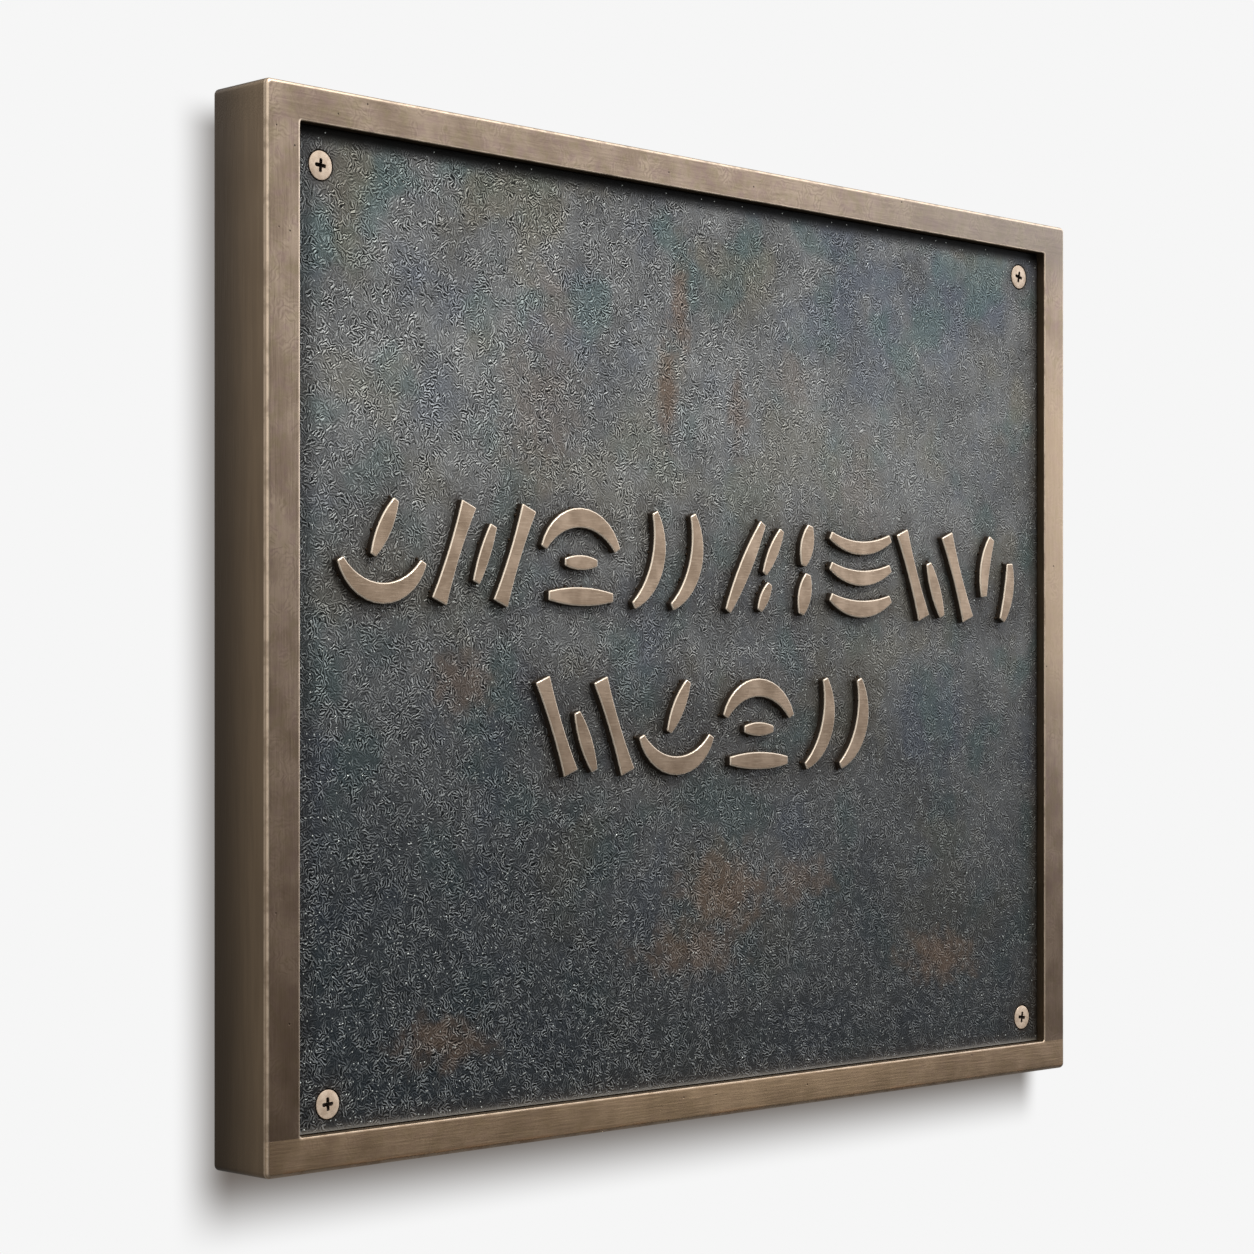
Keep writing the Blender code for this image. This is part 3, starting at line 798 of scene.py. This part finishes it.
def make_plate(material, foot_points):
    """The cast plate with its uneven, crinkled face, its countersinks and its plain back."""
    low_x, high_x = PLATE_LOW.x, PLATE_HIGH.x
    low_z, high_z = PLATE_LOW.z, PLATE_HIGH.z
    steps_x = round((high_x - low_x) / GRAIN_STEP)
    steps_z = round((high_z - low_z) / GRAIN_STEP)
    xs = np.linspace(low_x, high_x, steps_x + 1)
    zs = np.linspace(low_z, high_z, steps_z + 1)
    rng = np.random.default_rng(GRAIN_SEED)
    jitter = GRAIN_STEP * GRAIN_JITTER
    verts = []
    for z_index, z in enumerate(zs):
        for x_index, x in enumerate(xs):
            inside = 0 < z_index < steps_z and 0 < x_index < steps_x
            shift_x, shift_z = rng.uniform(-jitter, jitter, 2) if inside else (0.0, 0.0)
            px, pz = x + shift_x, z + shift_z
            broad = noise.noise(Vector((px, 0.3, pz)) / UNEVENNESS_LENGTH)
            crinkle = noise.noise(Vector((px, 1.7, pz)) / CRINKLE_LENGTH)
            edge = min(px - low_x, high_x - px, pz - low_z, high_z - pz)
            lowered = min(1.0, edge / LIP_WIDTH)
            down = UNEVENNESS * (0.6 + 0.4 * broad) + CRINKLE * (0.5 + 0.8 * crinkle)
            verts.append((px, PLATE_FACE_Y + max(0.0, down) * lowered, pz))
    faces = []
    row = steps_x + 1
    for z_index in range(steps_z):
        for x_index in range(steps_x):
            first = z_index * row + x_index
            faces.append((first, first + 1, first + row + 1, first + row))
    mesh = bpy.data.meshes.new("patinated_plate")
    mesh.from_pydata(verts, [], faces)
    mesh_data = bmesh.new()
    mesh_data.from_mesh(mesh)
    rims = [edge for edge in mesh_data.edges if edge.is_boundary]
    grown = bmesh.ops.extrude_edge_only(mesh_data, edges=rims)["geom"]
    for vert in (item for item in grown if isinstance(item, bmesh.types.BMVert)):
        vert.co.y = PLATE_BACK_Y
    bmesh.ops.holes_fill(mesh_data, edges=[edge for edge in mesh_data.edges if edge.is_boundary])
    bmesh.ops.recalc_face_normals(mesh_data, faces=mesh_data.faces)
    mesh_data.to_mesh(mesh)
    mesh_data.free()
    piece = link_mesh("patinated_plate", mesh, material)
    boolean(piece, countersinks(), "DIFFERENCE")
    paint_grime_and_shade(piece.data, foot_points)
    smooth(piece, 50)
    return piece


def turned(profile, place, sides):
    """A solid of revolution about Y, as a bmesh, from (radius, y) points."""
    mesh_data = bmesh.new()
    verts = [mesh_data.verts.new((place[0] + r, place[1] + y, place[2])) for r, y in profile]
    edges = [mesh_data.edges.new(pair) for pair in zip(verts, verts[1:])]
    bmesh.ops.spin(
        mesh_data,
        geom=verts + edges,
        cent=place,
        axis=(0, 1, 0),
        angle=math.tau,
        steps=sides,
        use_merge=True,
    )
    bmesh.ops.remove_doubles(mesh_data, verts=mesh_data.verts, dist=MERGE_DISTANCE)
    bmesh.ops.recalc_face_normals(mesh_data, faces=mesh_data.faces)
    return mesh_data


def screw_centres():
    return [((low.x + high.x) / 2, PLATE_FACE_Y, (low.z + high.z) / 2) for low, high in SCREW_BOXES]


def countersinks():
    hole = HEAD_RADIUS + CLEARANCE
    profile = (
        (0.0, CUTTER_ENDS[0]),
        (hole, CUTTER_ENDS[0]),
        (hole, HEAD_RIM),
        (SHANK_HOLE_RADIUS, COUNTERSINK_DEPTH),
        (SHANK_HOLE_RADIUS, CUTTER_ENDS[1]),
        (0.0, CUTTER_ENDS[1]),
    )
    cutter = bmesh.new()
    for place in screw_centres():
        one = turned(profile, place, SCREW_SIDES)
        cutter.from_mesh(mesh_from(one, "one_countersink"))
    return link_mesh("countersinks", mesh_from(cutter, "countersinks"))


def faded(distance, reach_mm, strength=1.0):
    """The full strength at no distance, and less and less further off."""
    return strength * math.exp(-(max(0.0, distance) / (reach_mm * MM)) ** 2)


def paint_grime_and_shade(mesh, foot_points):
    """Paints the brown dirt and painted shade near strokes, screws and rails, and the lip at the foot,
    painted pale as a highlight.
    """
    tree = kdtree.KDTree(len(foot_points))
    for index, point in enumerate(foot_points):
        tree.insert((point.x, 0.0, point.z), index)
    tree.balance()
    centres = screw_centres()
    values = []
    lips = []
    for vert in mesh.vertices:
        x, z = vert.co.x, vert.co.z
        to_stroke = tree.find((x, 0.0, z))[2]
        to_screw = min(math.hypot(x - cx, z - cz) for cx, _, cz in centres) - HEAD_RADIUS
        to_rail = min(x - PLATE_LOW.x, PLATE_HIGH.x - x, z - PLATE_LOW.z, PLATE_HIGH.z - z)
        by_stroke = max(faded(to_stroke, 1.7), faded(to_stroke, 6.5, 0.62))
        by_screw = max(faded(to_screw, 1.3), faded(to_screw, 4.0, 0.5))
        values.append(max(by_stroke, by_screw, faded(to_rail, 3.2, 0.8)))
        on_back = vert.co.y > PLATE_FACE_Y + LIP_WIDTH
        above_foot = min(1.0, max(0.0, (z - PLATE_LOW.z) / LIP_WIDTH - 0.1))
        lips.append(0.0 if on_back else 1.0 - above_foot)
    for name, numbers in (("grime_and_shade", values), ("highlit_lip", lips)):
        layer = mesh.attributes.new(name, "FLOAT", "POINT")
        layer.data.foreach_set("value", numbers)


def screw_mesh():
    """One countersunk screw with a rounded rim and a cross recess, its head at the origin."""
    start = HEAD_RADIUS - HEAD_ROUNDING
    profile = [(0.0, 0.0), (start, 0.0)]
    for step in range(1, HEAD_STEPS + 1):
        angle = math.radians(90 * step / HEAD_STEPS)
        profile.append((start + HEAD_ROUNDING * math.sin(angle), HEAD_ROUNDING * (1 - math.cos(angle))))
    profile += [
        (HEAD_RADIUS, HEAD_RIM),
        (SHANK_RADIUS, HEAD_RIM + HEAD_CONE_DEPTH),
        (SHANK_RADIUS, SCREW_LENGTH - POINT_LENGTH),
        (0.0, SCREW_LENGTH),
    ]
    body = turned(profile, (0, 0, 0), SCREW_SIDES)
    blank = link_mesh("screw_blank", mesh_from(body, "screw_blank"))
    boolean(blank, cross_cutter(), "DIFFERENCE")
    merge_points(blank.data)
    smooth(blank, 30)
    return blank


def cross_cutter():
    """A cross that narrows towards its foot, with rounded arm ends."""
    mesh_data = bmesh.new()
    loops = []
    for y, share in RECESS_LEVELS:
        arm = RECESS_ARM * share
        half = RECESS_SLOT / 2 * (0.4 + 0.6 * share)
        loop = []
        for quarter_turn in range(4):
            turn = Matrix.Rotation(quarter_turn * math.pi / 2, 4, "Y")
            corners = (
                (arm - half * 0.5, half),
                (arm, half * 0.5),
                (arm, -half * 0.5),
                (arm - half * 0.5, -half),
                (half, -half),
            )
            loop += [mesh_data.verts.new(turn @ Vector((x, y, z))) for x, z in corners]
        loops.append(loop)
    for first, second in zip(loops, loops[1:]):
        bridge_loops(mesh_data, first, second)
    mesh_data.faces.new(loops[0])
    mesh_data.faces.new(loops[-1])
    bmesh.ops.recalc_face_normals(mesh_data, faces=mesh_data.faces)
    return link_mesh("cross_cutter", mesh_from(mesh_data, "cross_cutter"))


def new_nodes_tree(name, sockets):
    """A geometry tree with a geometry input and output and named inputs."""
    tree = bpy.data.node_groups.new(name, "GeometryNodeTree")
    tree.interface.new_socket("Geometry", in_out="INPUT", socket_type="NodeSocketGeometry")
    tree.interface.new_socket("Geometry", in_out="OUTPUT", socket_type="NodeSocketGeometry")
    for socket_name, kind in sockets:
        tree.interface.new_socket(socket_name, in_out="INPUT", socket_type=kind)
    return tree, add_node(tree, "NodeGroupInput"), add_node(tree, "NodeGroupOutput")


def finish_instances(tree, placed, given, result):
    """Makes the instances real, gives them the material and hands them on as the result."""
    real = add_node(tree, "GeometryNodeRealizeInstances", {0: placed.outputs[0]})
    inputs = {"Geometry": real.outputs[0], "Material": given.outputs["Material"]}
    coloured = add_node(tree, "GeometryNodeSetMaterial", inputs)
    tree.links.new(coloured.outputs[0], result.inputs[0])


def run_nodes(name, source_mesh, tree, values):
    """Runs a geometry tree on a mesh and gives back the plain result as an object."""
    item = link_mesh(name, source_mesh)
    modifier = item.modifiers.new(name, "NODES")
    modifier.node_group = tree
    for socket in tree.interface.items_tree:
        if socket.in_out == "INPUT" and socket.name in values:
            modifier[socket.identifier] = values[socket.name]
    apply_modifiers(item)
    return item


def make_screws(material):
    """The four screws: one screw set on each hole by geometry nodes and turned as it was left."""
    blank = screw_mesh()
    mesh = bpy.data.meshes.new("screw_places")
    mesh.from_pydata(screw_centres(), [], [])
    turns = mesh.attributes.new("turn", "FLOAT", "POINT")
    turns.data.foreach_set("value", [math.radians(turn) for turn in SCREW_TURNS])
    tree, given, result = new_nodes_tree(
        "screws on holes",
        (("Screw", "NodeSocketObject"), ("Size", "NodeSocketFloat"), ("Material", "NodeSocketMaterial")),
    )
    turn = add_node(tree, "GeometryNodeInputNamedAttribute", {"Name": "turn"}, data_type="FLOAT")
    angles = add_node(tree, "ShaderNodeCombineXYZ", {"Y": turn.outputs["Attribute"]})
    one = add_node(tree, "GeometryNodeObjectInfo", {"Object": given.outputs["Screw"]})
    placed = add_node(
        tree,
        "GeometryNodeInstanceOnPoints",
        {
            "Points": given.outputs["Geometry"],
            "Instance": one.outputs["Geometry"],
            "Rotation": angles.outputs[0],
            "Scale": given.outputs["Size"],
        },
    )
    finish_instances(tree, placed, given, result)
    values = {"Screw": blank, "Size": 1.0, "Material": material}
    piece = run_nodes("countersunk_screws", mesh, tree, values)
    bpy.data.objects.remove(blank, do_unlink=True)
    return piece


def make_nubs(material, foot_points):
    """Small casting nubs left at the feet of the strokes, scattered by geometry nodes."""
    mesh = bpy.data.meshes.new("stroke_feet")
    mesh.from_pydata([(p.x, PLATE_FACE_Y + NUB_SINK, p.z) for p in foot_points], [], [])
    tree, given, result = new_nodes_tree(
        "casting nubs",
        (
            ("Share kept", "NodeSocketFloat"),
            ("Smallest", "NodeSocketFloat"),
            ("Largest", "NodeSocketFloat"),
            ("Seed", "NodeSocketInt"),
            ("Material", "NodeSocketMaterial"),
        ),
    )
    kept = add_node(
        tree,
        "FunctionNodeRandomValue",
        {"Probability": given.outputs["Share kept"], "Seed": given.outputs["Seed"]},
        data_type="BOOLEAN",
    )
    size = add_node(
        tree,
        "FunctionNodeRandomValue",
        {2: given.outputs["Smallest"], 3: given.outputs["Largest"], "Seed": given.outputs["Seed"]},
        data_type="FLOAT",
    )
    nub = add_node(tree, "GeometryNodeMeshIcoSphere", {"Radius": 1.0, "Subdivisions": 2})
    placed = add_node(
        tree,
        "GeometryNodeInstanceOnPoints",
        {
            "Points": given.outputs["Geometry"],
            "Selection": kept.outputs[3],
            "Instance": nub.outputs[0],
            "Scale": size.outputs[1],
        },
    )
    finish_instances(tree, placed, given, result)
    smallest, largest = NUB_RADII
    values = {
        "Share kept": NUB_SHARE,
        "Smallest": smallest,
        "Largest": largest,
        "Seed": NUB_SEED,
        "Material": material,
    }
    piece = run_nodes("casting_nubs", mesh, tree, values)
    piece.data.shade_smooth()
    return piece


def make_stage():
    """A white wall right behind the plaque, seen from its front only.

    It is plain white but for the soft shadow that the plaque throws on it, down and to the left,
    which is worked out from the distance past each of the plaque's edges.
    """
    material, tree, place = new_material("white_wall")
    x, _, z = axes_of(tree, place)
    left, right = FRAME_LOW.x, FRAME_HIGH.x
    foot, head = FRAME_LOW.z, FRAME_HIGH.z
    past_left = between(tree, x, left - SHADOW_LEFT[1], left - SHADOW_LEFT[0])
    past_right = between(tree, x, right + SHADOW_RIGHT[1], right + SHADOW_RIGHT[0])
    below = between(tree, z, foot - SHADOW_BELOW[1], foot - SHADOW_BELOW[0])
    above = between(tree, z, head + SHADOW_ABOVE[1], head + SHADOW_ABOVE[0])
    paint = tint(tree, "#f6f6f6", "#40301f", SHADOW_DEPTH, past_left, past_right, below, above)
    lit = add_node(tree, "ShaderNodeEmission", {"Color": paint})
    clear = add_node(tree, "ShaderNodeBsdfTransparent")
    behind = add_node(tree, "ShaderNodeNewGeometry").outputs["Backfacing"]
    both = add_node(tree, "ShaderNodeMixShader", {0: behind, 1: lit.outputs[0], 2: clear.outputs[0]})
    finish_material(tree, both)
    corners = [
        (WALL_REACH * side_x, BACK_Y + WALL_GAP, WALL_REACH * side_z)
        for side_x, side_z in ((-1, -1), (1, -1), (1, 1), (-1, 1))
    ]
    mesh = bpy.data.meshes.new("wall")
    mesh.from_pydata(corners, [], [(0, 1, 2, 3)])
    wall = link_mesh("wall", mesh, material)
    wall.visible_diffuse = False
    wall.visible_glossy = False
    wall.visible_transmission = False
    wall.visible_shadow = False


def make_camera():
    data = bpy.data.cameras.new("camera")
    data.lens = LENS_MM
    data.sensor_width = SENSOR_MM
    data.shift_y = (HORIZON_ROW - IMAGE_SIZE / 2) / IMAGE_SIZE
    data.clip_start = NEAR_CLIP
    camera = bpy.data.objects.new("camera", data)
    camera.location = CAMERA_PLACE
    camera.rotation_euler = (math.radians(90), 0, math.radians(CAMERA_HEADING - 90))
    bpy.context.scene.collection.objects.link(camera)
    bpy.context.scene.camera = camera


def make_sun(name, towards, energy, spread_degrees):
    data = bpy.data.lights.new(name, "SUN")
    data.energy = energy
    data.angle = math.radians(spread_degrees)
    light = bpy.data.objects.new(name, data)
    light.rotation_euler = Vector(towards).to_track_quat("-Z", "Y").to_euler()
    bpy.context.scene.collection.objects.link(light)


def make_light():
    """A soft studio: bright above, a window to the right, dim below and behind, one broad key."""
    world = bpy.data.worlds.new("studio")
    bpy.context.scene.world = world
    world.use_nodes = True
    tree = world.node_tree
    tree.nodes.clear()
    direction = add_node(tree, "ShaderNodeTexCoord").outputs["Generated"]
    x, y, z = axes_of(tree, direction)

    # Ahead: bright overhead, paler near the camera, and a window to the right
    slant = maths(tree, "MULTIPLY_ADD", x, 0.35, z)
    overhead = between(tree, slant, 0.08, 0.46, 0.15, 1.15)
    overhead = product(tree, overhead, between(tree, x, 0.5, 0.85, 0.82, 1.12))
    to_right = between(tree, x, 0.66, 0.78)
    window = product(tree, to_right, between(tree, z, -0.03, 0.03), 0.75)
    under_sill = product(tree, to_right, between(tree, z, -0.02, -0.12))
    overhead = product(tree, overhead, maths(tree, "MULTIPLY_ADD", under_sill, -0.5, 1.0))
    near_camera = between(tree, z, -0.30, 0.30, 0.28, 1.15)
    near_camera = product(tree, near_camera, between(tree, x, 0.15, -0.35))
    ahead = maths(tree, "ADD", maths(tree, "MAXIMUM", overhead, near_camera), window)

    # Behind the wall it is dim, and the camera itself sees a plain white ground
    behind = between(tree, z, -0.5, 0.5, 0.30, 0.55)
    strength = mix_values(tree, between(tree, y, -0.15, 0.15), ahead, behind)
    daylight = mix(tree, between(tree, x, 0.60, 0.82), "#ffffff", "#f2f6ff")
    seen = add_node(tree, "ShaderNodeLightPath").outputs["Is Camera Ray"]
    strength = mix_values(tree, seen, strength, 0.92)
    daylight = mix(tree, seen, daylight, "#ffffff")
    shader = add_node(tree, "ShaderNodeBackground", {"Color": daylight, "Strength": strength})
    add_node(tree, "ShaderNodeOutputWorld", {"Surface": shader.outputs[0]})
    make_sun("key", (-0.22, 0.60, -0.80), 2.4, 10)
    make_sun("rear_fill", (0.3, -0.9, -0.5), 0.6, 40)


def main():
    bpy.context.scene.view_settings.view_transform = "Standard"
    make_camera()
    make_stage()
    make_light()
    frame_bronze = make_frame_bronze()
    patina = make_plate_patina()
    stroke_bronze = make_stroke_bronze()
    screw_bronze = make_screw_bronze()
    declare(make_frame(frame_bronze), "frame_bronze", "frame")
    strokes, foot_points = make_strokes(stroke_bronze)
    declare(strokes, "plate_bronze", "face_plate")
    declare(make_plate(patina, foot_points), "plate_bronze", "face_plate")
    declare(make_nubs(stroke_bronze, foot_points), "plate_bronze", "face_plate")
    declare(make_screws(screw_bronze), "screw_metal", *SCREW_NODES)


main()
